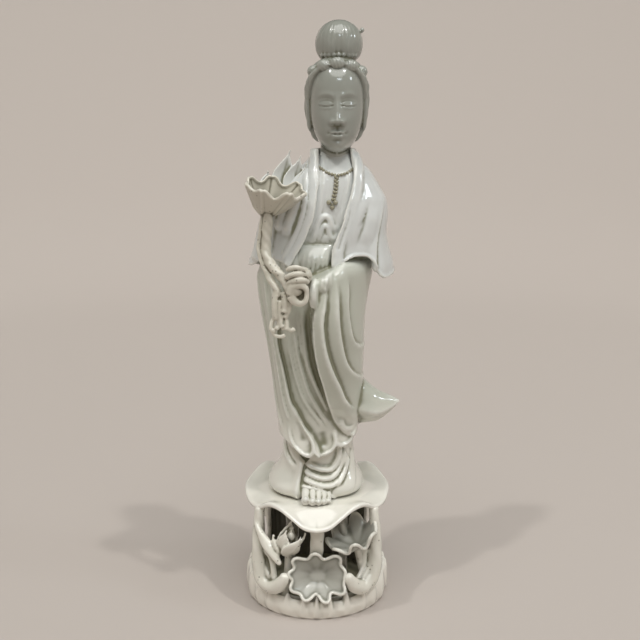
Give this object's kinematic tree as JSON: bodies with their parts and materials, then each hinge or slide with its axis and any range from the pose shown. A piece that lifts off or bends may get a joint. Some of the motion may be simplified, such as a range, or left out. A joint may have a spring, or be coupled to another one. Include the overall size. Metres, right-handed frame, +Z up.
{
  "type": "guanyin figure",
  "caption": "Standing robed Guanyin in white glazed porcelain, holding a lotus spray, fixed on a pierced plinth of lotus stalks, leaves and flowers.",
  "frame": {"origin": "centre of the round plinth's flat underside", "axes": "+Z up through the figure, -Y towards the viewer in front of the figure, +X to that viewer's right"},
  "size_m": [0.1633, 0.1666, 0.5998],
  "materials": {
    "figure_glaze": "clear glossy glaze over cool white porcelain",
    "plinth_glaze": "clear glossy glaze over warm white porcelain"
  },
  "bodies": {
    "root": {"guanyin_figure": "figure_glaze", "lotus_plinth": "plinth_glaze"}
  },
  "joints": []
}
